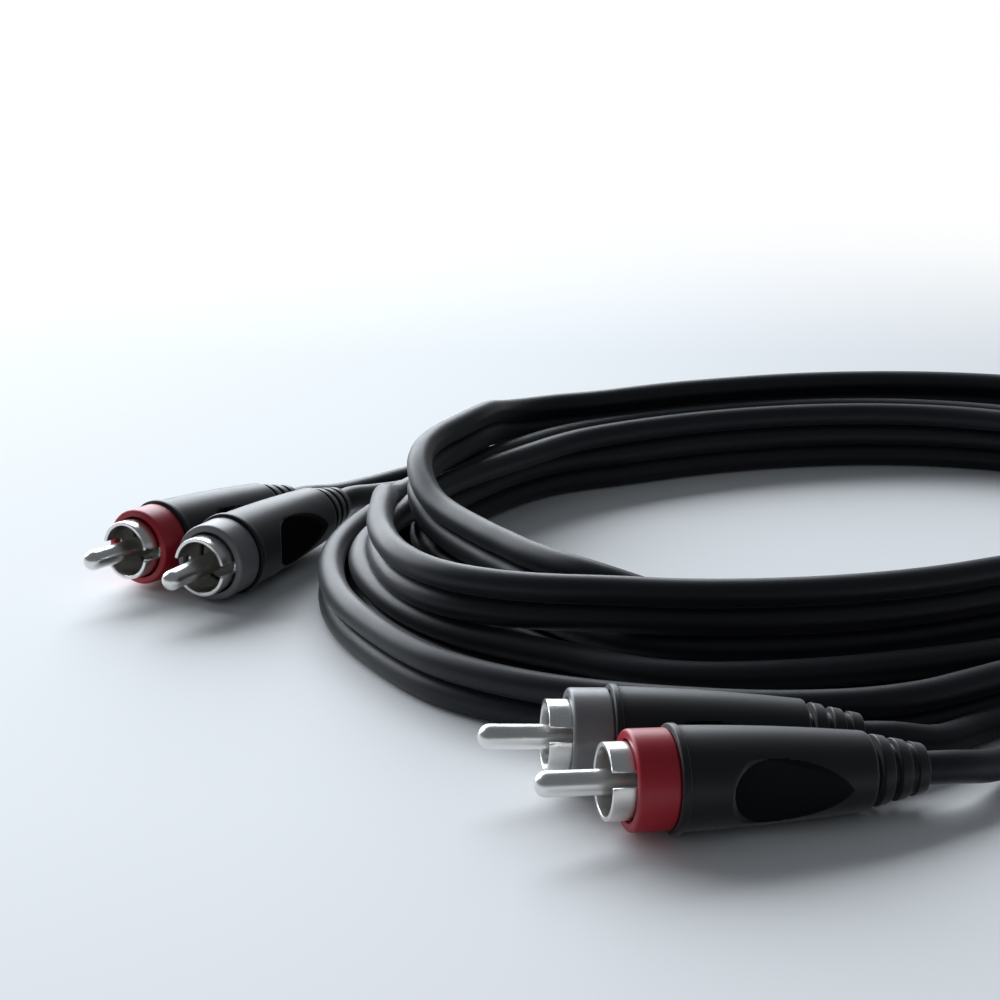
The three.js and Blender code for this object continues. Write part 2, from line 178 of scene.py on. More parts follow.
@dataclass(frozen=True)
class Finish:
    """A procedural finish.

    Attributes:
        name: Name of the material.
        colour: Linear colour of the raised or clean places.
        shade: Linear colour of the dull places.
        roughness: Mean roughness.
        grain: The fine relief and mottling.
        metallic: 1 for a metal, otherwise 0.
        sheen: Weight of the powdery sheen on a matt plastic.
        patch: Patches of dullness per metre.
        specular: Strength of the mirror part seen straight on, 0.5 for plain plastic.
        sheen_roughness: How widely the sheen spreads.
        patch_detail: Finer layers in the patches.
        grain_detail: Finer layers in the grain.
        noise_span: The noises' usual lowest and highest values.
    """

    name: str
    colour: Rgb
    shade: Rgb
    roughness: float
    grain: Grain
    metallic: float = 0.0
    sheen: float = 0.0
    patch: float = 90.0
    specular: float = 0.5
    sheen_roughness: float = 0.45
    patch_detail: float = 3.0
    grain_detail: float = 4.0
    noise_span: tuple[float, float] = (0.3, 0.7)

    def build(self) -> bpy.types.Material:
        """Makes the material. The patches drive the colour, the mean of patches and grain drives the
        roughness, and the grain drives the bump.
        """
        sheet = Shading(self.name)
        followed = sheet.place
        if self.grain.follows:
            attribute = sheet.node("Attribute", {}, attribute_name=self.grain.follows)
            stretch = {"Vector": attribute.outputs["Vector"], "Scale": (1.0, 1.0, 1.0 / self.grain.stretch)}
            followed = sheet.node("Mapping", stretch).outputs["Vector"]
        patch = {"Vector": sheet.place, "Scale": self.patch, "Detail": self.patch_detail}
        patches = sheet.node("TexNoise", patch).outputs["Fac"]
        fine = {"Vector": followed, "Scale": self.grain.scale, "Detail": self.grain_detail}
        grain = sheet.node("TexNoise", fine).outputs["Fac"]
        mean = sheet.math("MULTIPLY_ADD", patches, 0.5, sheet.math("MULTIPLY", grain, 0.5))
        dullness = (self.roughness - self.grain.mottle, self.roughness + self.grain.mottle)
        relief = {"Strength": 1.0, "Distance": self.grain.relief, "Height": grain}
        surface = {
            "Base Color": sheet.tint(patches, self.shade, self.colour),
            "Metallic": self.metallic,
            "Roughness": sheet.ramp(mean, self.noise_span, dullness),
            "Specular IOR Level": self.specular,
            "Sheen Weight": self.sheen,
            "Sheen Roughness": self.sheen_roughness,
            "Normal": sheet.node("Bump", relief).outputs["Normal"],
        }
        sheet.fill(sheet.shader, surface)
        return sheet.material


TURNED = "turned"
DRAWN = "drawn"
FINISHES: dict[Slot, Finish] = {
    Slot.NICKEL: Finish(
        name="bright_nickel",
        colour=(0.82, 0.81, 0.79), shade=(0.74, 0.73, 0.71),
        roughness=0.27, metallic=1.0, grain=Grain(9000.0, 4e-6, 0.05, TURNED, 0.05),
    ),
    Slot.COPPER: Finish(
        name="bare_copper",
        colour=(0.75, 0.36, 0.22), shade=(0.55, 0.25, 0.15),
        roughness=0.35, metallic=1.0, grain=Grain(2500.0, 1e-5, 0.08),
    ),
    Slot.INSULATOR: Finish(
        name="brown_insulator",
        colour=(0.34, 0.32, 0.29), shade=(0.27, 0.25, 0.23),
        roughness=0.5, grain=Grain(3000.0, 8e-6, 0.06),
    ),
    Slot.DIELECTRIC: Finish(
        name="white_dielectric",
        colour=(0.82, 0.80, 0.74), shade=(0.76, 0.74, 0.68),
        roughness=0.5, grain=Grain(2500.0, 8e-6, 0.05),
    ),
    Slot.MOULDING: Finish(
        name="black_moulding",
        colour=(0.008, 0.0085, 0.011), shade=(0.005, 0.0053, 0.007),
        roughness=0.43, grain=Grain(5200.0, 7e-6, 0.05), sheen=0.35, specular=0.3,
    ),
    Slot.JACKET: Finish(
        name="charcoal_jacket",
        colour=(0.012, 0.013, 0.018), shade=(0.008, 0.0085, 0.012),
        roughness=0.47, grain=Grain(14.0, 1.2e-5, 0.07, DRAWN, 0.012), sheen=0.08, patch=60.0, specular=0.3,
    ),
    Slot.RED_RING: Finish(
        name="red_ring_plastic",
        colour=(0.42, 0.010, 0.024), shade=(0.35, 0.008, 0.019),
        roughness=0.42, grain=Grain(4200.0, 6e-6, 0.04),
    ),
    Slot.GREY_RING: Finish(
        name="grey_ring_plastic",
        colour=(0.195, 0.192, 0.200), shade=(0.165, 0.162, 0.170),
        roughness=0.38, grain=Grain(4200.0, 6e-6, 0.04),
    ),
}
# The scoops' floors: matt and low in gloss, and darker in colour than the moulding, which is painted shade
# in the hollows.
GRIP_PAINTED_SHADE = Finish(
    name="matt_grip_painted_shade",
    colour=(0.0045, 0.0048, 0.006), shade=(0.003, 0.0032, 0.004),
    roughness=0.62, grain=Grain(3600.0, 1.4e-5, 0.05), specular=0.12,
)


class Finishes:
    """Builds each finish once and hands it out by its slot."""

    def __init__(self) -> None:
        """Starts with the material of the scoops' floors, matt and darkened with painted shade, which
        shares the moulding's slot.
        """
        self._built: dict[Slot, bpy.types.Material] = {}
        self.grip_with_shade = GRIP_PAINTED_SHADE.build()

    def of(self, slot: Slot) -> bpy.types.Material:
        """Gives the material of a slot."""
        if slot not in self._built:
            self._built[slot] = FINISHES[slot].build()
        return self._built[slot]

    def dress(self, piece: bpy.types.Object, slot: Slot) -> None:
        """Puts a slot's material on a piece.

        Args:
            piece: The piece to dress.
            slot: The record's material slot.
        """
        piece.data.materials.clear()
        piece.data.materials.append(self.of(slot))


def linked(name: str, data: bpy.types.ID) -> bpy.types.Object:
    """Makes an object of its data and puts it in the scene."""
    made = bpy.data.objects.new(name, data)
    bpy.context.scene.collection.objects.link(made)
    return made


@dataclass
class Surface:
    """A closed surface on a grid of points.

    Attributes:
        points: Points in metres, as rows along the piece by columns round it, by 3.
        ring: True if the last row joins the first, as on a piece with a bore.
        attribute: Name of the vector attribute that its finish follows.
        values: The attribute at each point, in the shape of the points.
    """

    points: np.ndarray
    ring: bool = False
    attribute: str = ""
    values: np.ndarray | None = None

    def faces(self) -> tuple[np.ndarray, np.ndarray, np.ndarray]:
        """Works out the corners of the faces. Columns always close round; open rows end in a fan.

        Returns:
            The vertices, the four-cornered faces and the three-cornered faces.
        """
        rows, columns = self.points.shape[:2]
        index = np.arange(rows * columns).reshape(rows, columns)
        near = index if self.ring else index[:-1]
        far = np.roll(index, -1, axis=0) if self.ring else index[1:]
        quads = np.stack([near, far, np.roll(far, -1, axis=1), np.roll(near, -1, axis=1)], axis=-1)
        quads = quads.reshape(-1, 4)
        vertices = self.points.reshape(-1, 3)
        if self.ring:
            return vertices, quads, np.zeros((0, 3), dtype=int)
        first, last = index[0], index[-1]
        ends = np.array([rows * columns, rows * columns + 1])
        vertices = np.vstack([vertices, self.points[0].mean(axis=0), self.points[-1].mean(axis=0)])
        start_fan = np.stack([np.full(columns, ends[0]), first, np.roll(first, -1)], axis=-1)
        end_fan = np.stack([np.full(columns, ends[1]), np.roll(last, -1), last], axis=-1)
        return vertices, quads, np.vstack([start_fan, end_fan])

    def piece(self, name: str) -> bpy.types.Object:
        """Makes the object. Faces are turned outwards, which is where the enclosed volume is positive.

        Returns:
            The object, at the origin, with its place in its mesh.
        """
        vertices, quads, triangles = self.faces()
        halves = np.vstack([quads[:, [0, 1, 2]], quads[:, [0, 2, 3]], triangles])
        a, b, c = (vertices[halves[:, k]] for k in range(3))
        if np.einsum("ij,ij->i", a, np.cross(b, c)).sum() < 0:
            quads, triangles = quads[:, ::-1], triangles[:, ::-1]
        mesh = bpy.data.meshes.new(name)
        mesh.vertices.add(len(vertices))
        mesh.vertices.foreach_set("co", vertices.ravel())
        corners = np.concatenate([quads.ravel(), triangles.ravel()])
        counts = np.concatenate([np.full(len(quads), 4), np.full(len(triangles), 3)])
        mesh.loops.add(len(corners))
        mesh.loops.foreach_set("vertex_index", corners)
        mesh.polygons.add(len(counts))
        mesh.polygons.foreach_set("loop_start", np.concatenate([[0], np.cumsum(counts)[:-1]]))
        mesh.update(calc_edges=True)
        mesh.polygons.foreach_set("use_smooth", np.ones(len(counts), dtype=bool))
        if self.values is not None:
            values = self.values.reshape(-1, 3)
            spare = len(vertices) - len(values)
            if spare:
                values = np.vstack([values, self.values[0].mean(axis=0), self.values[-1].mean(axis=0)])
            layer = mesh.attributes.new(self.attribute, "FLOAT_VECTOR", "POINT")
            layer.data.foreach_set("vector", values.astype(np.float32).ravel())
        return linked(name, mesh)


def filleted(outline: list[tuple[float, float, float]], steps: int = 5) -> np.ndarray:
    """Rounds the corners of a closed outline. A corner becomes a quadratic curve whose ends lie its own
    radius away along its two sides, or less where a side is short.

    Args:
        outline: Corners as (station, radius, rounding).
        steps: Steps of each rounded corner.

    Returns:
        Points as rows of (station, radius).
    """
    corners = np.array([(s, r) for s, r, _ in outline])
    share = np.linspace(0.0, 1.0, steps + 1)[:, None]
    rounded = []
    for i, (_, _, rounding) in enumerate(outline):
        corner, before, after = corners[i], corners[i - 1], corners[(i + 1) % len(corners)]
        to_before, to_after = before - corner, after - corner
        lengths = np.linalg.norm(to_before), np.linalg.norm(to_after)
        cut = min(rounding, LARGEST_CUT * min(lengths))
        start = corner + to_before / lengths[0] * cut
        end = corner + to_after / lengths[1] * cut
        rounded.append((1 - share) ** 2 * start + 2 * share * (1 - share) * corner + share**2 * end)
    return np.vstack(rounded)


def refined(profile: np.ndarray, step: float | np.ndarray) -> np.ndarray:
    """Puts more points into the long sides of a closed profile, a step apart at most.

    Args:
        profile: Points as rows of (station, radius).
        step: The longest distance that is left, for all sides or for each.

    Returns:
        The same closed profile with more points.
    """
    following = np.roll(profile, -1, axis=0)
    counts = np.maximum(1, np.ceil(np.linalg.norm(following - profile, axis=1) / step)).astype(int)
    owner = np.repeat(np.arange(len(profile)), counts)
    first = np.repeat(np.cumsum(counts) - counts, counts)
    share = ((np.arange(len(owner)) - first) / counts[owner])[:, None]
    return profile[owner] * (1 - share) + following[owner] * share


def unit(rows: np.ndarray) -> np.ndarray:
    """Gives each row the length 1."""
    return rows / np.linalg.norm(rows, axis=1)[:, None]


def run_along(points: np.ndarray, power: float = 1.0) -> np.ndarray:
    """Adds up the steps from the first point to each, or a power of each step."""
    return np.concatenate([[0.0], np.cumsum(np.linalg.norm(np.diff(points, axis=0), axis=1) ** power)])


@dataclass(frozen=True)
class Lay:
    """How one plug lies on the table.

    Attributes:
        name: Name of the plug.
        colour: Its mark.
        mouth: Middle of its collar's mouth, in millimetres on the table.
        heading: The way that it points back to its lead, in degrees from +X.
        droop: How far its lead end droops, in degrees.
        lead: Route of its lead after the strain relief, in millimetres.
        slot_roll: How far its collar's slots are rolled from level, in degrees.
    """

    name: str
    colour: Colour
    mouth: tuple[float, float]
    heading: float
    droop: float
    lead: tuple[Point, ...]
    slot_roll: float = 0.0


LAYS = (
    Lay(
        "end_a_red", Colour.RED, (-53.9, 28.2), 55.8, 3.0,
        ((-23.8, 72.2, 3.2), (-17.9, 80.1, 2.3), (-10.9, 87.5, 2.15)),
    ),
    Lay(
        "end_a_grey", Colour.GREY, (-40.9, 20.7), 62.5, 1.0,
        ((-16.0, 68.8, 4.2), (-11.0, 77.3, 2.5), (-5.7, 85.3, 2.15)),
    ),
    Lay(
        "end_b_grey", Colour.GREY, (12.2, -45.2), 6.5, 3.0,
        ((63.1, -37.6, 3.2), (69.6, -31.9, 2.3), (76.7, -26.8, 2.15), (85.1, -22.9, 2.15)),
        slot_roll=-26.0,
    ),
    Lay(
        "end_b_red", Colour.RED, (18.9, -58.4), 12.0, 3.0,
        ((68.6, -45.4, 3.3), (74.1, -39.7, 2.3), (80.6, -33.5, 2.15), (88.3, -27.8, 2.15)),
        slot_roll=-26.0,
    ),
)


@dataclass
class Plug:
    """One moulded phono plug. Sizes are in millimetres, and an edge is the rounding of a corner.

    Attributes:
        lay: Where and how it lies.
        fit: Clearance between pieces that sit in each other.
        slot_side: Angle in radians over which a slot's side is as good as straight.
        slot_reach: Station up to which the collar's wall is drawn back at a slot.
        scoop_rim: How far a scoop's rounded rim reaches outside its outline, and at the front its own.
        scoop_fringe: How far before a scoop the mesh is already fine.
        scoop_skin: Radius past which a point is on the body's outside, and not in its bore.
        scoop_power: Exponent that draws a scoop's outline out to its tip.
        made: Names of the finished pieces.
        grip_shade_faces: Which faces of the housing are a scoop's floor, which gets the matt finish and the
            painted shade.
    """

    lay: Lay
    fit: float = 0.3
    pin_radius: float = 1.6
    pin_reach: float = 8.5
    pin_nose: float = 1.5
    pin_shoulder: float = 5.9
    pin_edge: float = 0.25
    shank_radius: float = 1.0
    shank_end: float = 11.5
    collar_radius: float = 4.75
    collar_wall: float = 0.6
    collar_depth: float = 9.2
    collar_back: float = 10.0
    collar_hole: float = 2.2
    rim_edge: float = 0.16
    slot_half: float = 0.95
    slot_length: float = 3.6
    slot_side: float = 0.006
    slot_reach: float = 8.0
    insulator_recess: float = 6.2
    boss_radius: float = 2.4
    boss_foot: float = 2.7
    boss_height: float = 0.35
    disc_edge: float = 0.25
    disc_back_edge: float = 0.2
    neck_radius: float = 1.8
    insulator_step: float = 0.6
    ring_step: float = 0.7
    ring_radius: float = 6.2
    ring_start: float = 2.8
    ring_end: float = 7.8
    ring_edge: float = 1.2
    ring_bore_edge: float = 0.18
    spigot_radius: float = 5.6
    spigot_end: float = 9.6
    lip_radius: float = 6.7
    lip_length: float = 0.9
    lip_step: float = 0.25
    lip_edge: float = 0.22
    lip_back_edge: float = 0.18
    lip_foot_edge: float = 0.08
    housing_start: float = 8.1
    body_length: float = 25.2
    body_rear_radius: float = 4.9
    body_bulge: float = 0.25
    body_blend: float = 1.2
    body_rear_edge: float = 0.5
    crown_points: int = 7
    scoop_start: float = 14.2
    scoop_length: float = 13.6
    scoop_half: float = 4.9
    scoop_depth: float = 2.3
    scoop_wall: float = 1.5
    scoop_tail: float = 2.5
    scoop_rim: float = 0.12
    scoop_front_rim: float = 0.2
    scoop_fringe: float = 2.0
    scoop_skin: float = 4.3
    scoop_power: float = 0.7
    rib_count: int = 3
    rib_width: float = 1.6
    rib_pitch: float = 2.5
    rib_gap: float = 0.02
    rib_edge: float = 0.3
    rib_foot_edge: float = 0.25
    first_rib: float = 4.5
    last_rib: float = 3.4
    rib_taper: float = 0.3
    lead_bore: float = 2.4
    relief_wall: float = 0.7
    chamber_radius: float = 3.9
    chamber_length: float = 7.3
    pin_sides: int = 48
    insulator_sides: int = 64
    ring_sides: int = 96
    housing_sides: int = 192
    made: list[str] = field(default_factory=list)
    grip_shade_faces: np.ndarray = field(default_factory=lambda: np.zeros(0, dtype=bool))

    @property
    def body_end(self) -> float:
        """Station where the body ends and the strain relief starts."""
        return self.housing_start + self.body_length

    @property
    def relief_end(self) -> float:
        """Station where the strain relief ends."""
        return self.body_end + self.rib_count * self.rib_pitch

    def placed(self, local: np.ndarray) -> np.ndarray:
        """Lays points of the plug's own frame on the table: drooped about Y, then headed about Z, then
        moved to the mouth, which is as high as the lip's edge needs.

        Args:
            local: Points in millimetres, the last axis being x along the plug, y and z.

        Returns:
            The points in metres in the model's frame.
        """
        droop, heading = math.radians(self.lay.droop), math.radians(self.lay.heading)
        level, dip = math.cos(droop), math.sin(droop)
        east, north = math.cos(heading), math.sin(heading)
        pitched = np.array([[level, 0, dip], [0, 1, 0], [-dip, 0, level]])
        turned = np.array([[east, -north, 0], [north, east, 0], [0, 0, 1]])
        lip_back = self.housing_start + self.lip_length
        height = self.lip_radius * level + lip_back * dip
        return (local @ (turned @ pitched).T + np.array([*self.lay.mouth, height])) * MM

    def revolved(self, profile: np.ndarray, sides: int) -> np.ndarray:
        """Turns a profile about the plug's axis: a point at (station, radius) sweeps the circle
        (station, radius cos a, radius sin a).

        Args:
            profile: Rows of (station, radius).
            sides: Points round the circle.

        Returns:
            The grid of points in the plug's frame.
        """
        angle = np.linspace(0.0, 2 * np.pi, sides, endpoint=False)[None, :]
        station, radius = profile[:, :1] * np.ones_like(angle), profile[:, 1:]
        return np.stack([station, radius * np.cos(angle), radius * np.sin(angle)], axis=-1)

    def finished(
        self, part: str, points: np.ndarray, ring: bool = True, turned: np.ndarray | None = None
    ) -> bpy.types.Object:
        """Makes a piece from points of the plug's own frame.

        Args:
            part: Name of the part, which follows the plug's own name.
            points: The grid of points in millimetres.
            ring: True if the rows close, as on a piece with a bore.
            turned: Points whose circles its turned marks follow, or nothing for its own.
        """
        marks = (points if turned is None else turned)[..., [1, 2, 0]] * MM
        surface = Surface(self.placed(points), ring, TURNED, marks)
        return surface.piece(f"{self.lay.name}_{part}_surface")

    def body_radius(self, station: float | np.ndarray) -> float | np.ndarray:
        """Works out the body's radius: a straight taper with a half sine wave on it as its crown.

        Args:
            station: One station or many.

        Returns:
            The radius at each.
        """
        share = (station - self.housing_start) / self.body_length
        front = self.lip_radius - self.lip_step
        straight = front + (self.body_rear_radius - front) * share
        return straight + self.body_bulge * np.sin(np.pi * share)

    def pin(self) -> bpy.types.Object:
        """Makes the pin: a quarter ellipse for the nose, a plain front, and the shank behind it."""
        tip, nose_rings, front_rings = 0.02, 14, 24
        angle = np.linspace(tip, 0.5 * np.pi, nose_rings)
        nose_station = self.pin_nose * (1 - np.cos(angle)) - self.pin_reach
        nose = np.stack([nose_station, self.pin_radius * np.sin(angle)], axis=1)
        shoulder = self.pin_shoulder
        front_station = np.linspace(nose[-1, 0] + 2 * self.pin_edge, shoulder - self.pin_edge, front_rings)
        front = np.stack([front_station, np.full(front_rings, self.pin_radius)], axis=1)
        rest = np.array(
            [
                [shoulder, self.pin_radius - self.pin_edge],
                [shoulder, self.shank_radius],
                [self.shank_end, self.shank_radius],
            ]
        )
        profile = np.vstack([nose, front, rest])
        return self.finished("pin", self.revolved(profile, self.pin_sides), ring=False)

    def collar(self) -> bpy.types.Object:
        """Makes the slotted collar. Its rim lies at the mouth, but at the slots, whose bottoms are round,
        it lies further in: the slot's length less its half width, plus the height of a half circle over
        the slot's width. The profile of each column is stretched from its own rim to the floor.
        """
        bore = self.collar_radius - self.collar_wall
        half = math.asin(self.slot_half / self.collar_radius)
        slot_columns, petal_columns, rounding_slack = 13, 45, 1e-9
        across = np.linspace(-half, half, slot_columns)
        petal = np.linspace(half + self.slot_side, math.pi - half - self.slot_side, petal_columns)
        angle = np.concatenate([across, petal, across + math.pi, petal + math.pi])
        sideways = np.abs(np.sin(angle))
        offset = np.clip(sideways * self.collar_radius / self.slot_half, 0.0, 1.0)
        round_bottom = self.slot_length - self.slot_half + self.slot_half * np.sqrt(1 - offset**2)
        rim = np.where(sideways <= math.sin(half) + rounding_slack, round_bottom, 0.0)[None, :]
        profile = filleted(
            [
                (0.0, bore, self.rim_edge),
                (0.0, self.collar_radius, self.rim_edge),
                (self.collar_back, self.collar_radius, SOFT),
                (self.collar_back, self.collar_hole, KEEN),
                (self.collar_depth, self.collar_hole, KEEN),
                (self.collar_depth, bore, SOFT),
            ],
            steps=4,
        )
        profile = refined(profile, PLAIN_STEP)
        station, radius, reach = profile[:, :1], profile[:, 1:], self.slot_reach
        moved = np.where(station < reach, rim + station * (reach - rim) / reach, station)
        rolled = angle[None, :] + math.radians(self.lay.slot_roll)
        points = np.stack([moved, radius * np.cos(rolled), radius * np.sin(rolled)], axis=-1)
        return self.finished("collar", points)

    def insulator(self) -> bpy.types.Object:
        """Makes the insulator: a disc with a low boss round the pin, and its neck."""
        disc = self.collar_radius - self.collar_wall - self.fit
        bore = self.shank_radius + self.fit
        tip, back = self.insulator_recess, self.collar_depth - self.fit
        face = tip + self.boss_height
        profile = filleted(
            [
                (tip, bore, CRISP),
                (tip, self.boss_radius, EASED),
                (face, self.boss_foot, EASED),
                (face, disc, self.disc_edge),
                (back, disc, self.disc_back_edge),
                (back, self.neck_radius, CRISP),
                (self.shank_end, self.neck_radius, CRISP),
                (self.shank_end, bore, CRISP),
            ],
        )
        profile = refined(profile, self.insulator_step)
        return self.finished("insulator", self.revolved(profile, self.insulator_sides))

    def colour_ring(self) -> bpy.types.Object:
        """Makes the colour ring: a band with a rounded front edge, and its spigot."""
        bore = self.collar_radius + self.fit
        profile = filleted(
            [
                (self.ring_start, bore, self.ring_bore_edge),
                (self.ring_start, self.ring_radius, self.ring_edge),
                (self.ring_end, self.ring_radius, EASED),
                (self.ring_end, self.spigot_radius, KEEN),
                (self.spigot_end, self.spigot_radius, CRISP),
                (self.spigot_end, bore, CRISP),
            ],
            steps=8,
        )
        profile = refined(profile, self.ring_step)
        return self.finished("colour_ring", self.revolved(profile, self.ring_sides))

    def scoop_inside(self, along: np.ndarray, across: np.ndarray) -> np.ndarray:
        """How far a point lies inside a scoop's outline: a half circle at the front, and behind it two
        curves that narrow to a blunt tip. Their half width is the full one times a power of 1 less t
        squared, and their distance from the front is a quadratic curve in t.

        Args:
            along: Distances from the scoop's front, in millimetres.
            across: Distances from its middle line, in millimetres.

        Returns:
            Distances to the outline, positive inside.
        """
        half, end = self.scoop_half, self.scoop_length + self.scoop_tail
        shoulder, samples, far_outside = self.scoop_length - self.scoop_tail, 60, -1.0
        t = np.linspace(0.0, 1.0, samples)
        reach = half * (1 - t) ** 2 + 2 * shoulder * t * (1 - t) + end * t**2
        width = np.interp(along, reach, half * (1 - t**2) ** self.scoop_power)
        front = half - np.hypot(half - along, across)
        tail = np.where(along < end, width - np.abs(across), far_outside)
        return np.where(along < half, front, tail)

    def rib_outline(self) -> list[tuple[float, float, float]]:
        """Outlines the strain relief, rib by rib: a groove's two corners, and then the rib's two.

        Returns:
            Corners as (station, radius, rounding).
        """
        groove = self.lead_bore + self.relief_wall
        corners = []
        for i in range(self.rib_count):
            rib = self.first_rib + (self.last_rib - self.first_rib) * i / (self.rib_count - 1)
            end = self.body_end + (i + 1) * self.rib_pitch
            corners += [
                (end - self.rib_pitch + self.rib_gap, groove, self.rib_foot_edge),
                (end - self.rib_width, groove, self.rib_foot_edge),
                (end - self.rib_width, rib, self.rib_edge),
                (end, rib - self.rib_taper, self.rib_edge),
            ]
        return corners

    def housing(self) -> bpy.types.Object:
        """Makes the housing. Its outside is a turned profile. Inside a scoop's outline a point keeps its
        station and height, and its sideways distance falls to the floor, a plane that ramps up from the
        front wall to the surface. The fall is spread over a rounded wall, so the scoop is dished.
        """
        lip_back = self.housing_start + self.lip_length
        mouth = self.spigot_radius + self.fit
        chamber_end, chamber_start = self.collar_back + self.chamber_length, self.collar_back + self.fit
        crown = np.linspace(lip_back, self.body_end, self.crown_points)[1:-1]
        outline = [
            (self.housing_start, mouth, CRISP),
            (self.housing_start, self.lip_radius, self.lip_edge),
            (lip_back, self.lip_radius, self.lip_back_edge),
            (lip_back + KEEN, float(self.body_radius(lip_back + CRISP)), self.lip_foot_edge),
            *[(float(s), float(self.body_radius(s)), self.body_blend) for s in crown],
            (self.body_end, self.body_rear_radius, self.body_rear_edge),
            *self.rib_outline(),
            (self.relief_end, self.lead_bore, CRISP),
            (chamber_end, self.lead_bore, CRISP),
            (chamber_end, self.chamber_radius, CRISP),
            (chamber_start, self.chamber_radius, CRISP),
            (chamber_start, mouth, CRISP),
        ]
        profile = filleted(outline, steps=4)
        station, radius = profile[:, 0], profile[:, 1]
        near_scoop = (station > self.scoop_start - self.scoop_fringe) & (station < self.body_end)
        scooped = near_scoop & (radius > self.scoop_skin)
        profile = refined(profile, np.where(scooped, FINE_STEP, PLAIN_STEP))
        turned = self.revolved(profile, self.housing_sides)
        points = turned.copy()
        x, y, z = points[..., 0], points[..., 1], points[..., 2]
        along = x - self.scoop_start
        inside = self.scoop_inside(along, z)
        front_floor = float(self.body_radius(self.scoop_start)) - self.scoop_depth
        rear = float(self.body_radius(self.scoop_start + self.scoop_length))
        floor = front_floor + (rear - front_floor) * along / self.scoop_length
        share = np.clip((inside + self.scoop_rim) / self.scoop_wall, 0.0, 1.0)
        share = share * share * (3 - 2 * share)
        sunk = np.minimum(np.abs(y), floor) * share + np.abs(y) * (1 - share)
        in_body = (np.hypot(y, z) > self.scoop_skin) & (inside > -self.scoop_rim)
        in_body &= (x > self.scoop_start - self.scoop_front_rim) & (x < self.body_end)
        points[..., 1] = np.where(in_body, np.sign(y) * sunk, y)
        # The scoops' floors, which get the darker colour of painted shade.
        self.grip_shade_faces = in_body & (inside > 0.5 * self.scoop_wall)
        return self.finished("housing", points, turned=turned)

    def dress_grips_with_shade(self, housing: bpy.types.Object, finishes: Finishes) -> None:
        """Gives the floors of the scoops their matt finish, whose darker colour is painted shade in the
        hollows.

        Args:
            housing: The housing, dressed as a moulding.
            finishes: The finishes.
        """
        housing.data.materials.append(finishes.grip_with_shade)
        housing.data.polygons.foreach_set("material_index", self.grip_shade_faces.ravel().astype(np.int32))
        housing.data.update()

    def build(self, finishes: Finishes) -> None:
        """Makes the plug's visible pieces, each in the place of its node."""
        ring_slot = Slot.RED_RING if self.lay.colour is Colour.RED else Slot.GREY_RING
        for part, make, slot in (
            ("pin", self.pin, Slot.NICKEL),
            ("collar", self.collar, Slot.NICKEL),
            ("insulator", self.insulator, Slot.INSULATOR),
            ("colour_ring", self.colour_ring, ring_slot),
            ("housing", self.housing, Slot.MOULDING),
        ):
            piece = make()
            finishes.dress(piece, slot)
            if part == "housing":
                self.dress_grips_with_shade(piece, finishes)
            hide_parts(f"{self.lay.name}_{part}")
            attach(piece, "root")
            self.made.append(piece.name)
        LOG.info("%s: %s", self.lay.name, ", ".join(self.made))


@dataclass(frozen=True)
class Station:
    """Where a turn of the coil lies at one angle.

    Attributes:
        angle: Degrees round the oval, from its long axis.
        inset: Millimetres inside the oval.
        height: Height of the twin's middle in millimetres.
        lean: 90 degrees where the twin stands on edge, 0 where it lies flat.
    """

    angle: float
    inset: float
    height: float = 4.2
    lean: float = 90.0


def stations(*rows: tuple[float, ...]) -> tuple[Station, ...]:
    """Gives a turn its stations, in the order that the cable passes them."""
    return tuple(Station(*row) for row in rows)


OUTER_TURN = stations(
    (73, -3.4, 2.15, 0), (60, -2.6, 3.65, 45), (48, -2.0, 4.2), (20, -1.2), (350, 0.4), (320, 2.6),
    (302, 2.6), (296, 1.6), (290, 0.7), (278, 0.4), (263, 0.6), (256, 0.0), (250, -3.0), (244, -4.6),
    (235, -4.6), (226, -3.6), (212, -3.1), (204, -2.3), (197, -1.3), (190, 0.6), (182, 1.8), (165, 2.2),
    (150, 2.0), (140, 2.4), (129, 2.2), (120, 1.4), (115, 0.6), (110, -0.1), (105.6, -0.6), (101, -0.3),
    (96.7, 0.9), (92, 2.4),
)
SECOND_TURN = stations(
    (74, 3.2), (50, 3.4), (20, 3.6), (350, 4.8), (320, 6.8), (302, 6.8), (290, 5.2), (278, 5.6),
    (263, 7.1), (249, 7.2), (240, 6.5), (234, 6.0), (228, 5.3), (221, 5.9), (213, 8.8), (204, 9.6),
    (194, 9.3), (180, 9.0), (168, 8.3), (161, 7.3), (153, 6.5), (147, 6.3), (140, 6.8), (129, 6.4),
    (120, 5.6), (115, 4.8), (110, 4.1), (105.6, 3.6), (101, 3.9), (96.7, 5.1), (92, 6.6),
)
INNER_TURN = stations(
    (74, 7.4), (50, 7.6), (20, 7.8), (350, 9.0), (320, 11.0), (302, 11.0), (290, 12.0), (275, 15.4),
    (263, 17.0), (245, 16.4), (230, 16.2), (222, 16.6), (216, 17.6), (209, 19.8), (203, 21.8),
    (196, 23.0), (185, 24.2), (171, 23.6), (160, 21.3), (151, 17.8), (142, 13.8), (135, 11.6),
    (129, 10.7), (120, 9.9), (115, 9.2), (110, 8.4), (105.6, 7.9), (101, 8.2), (96.7, 9.4), (92, 10.8),
)
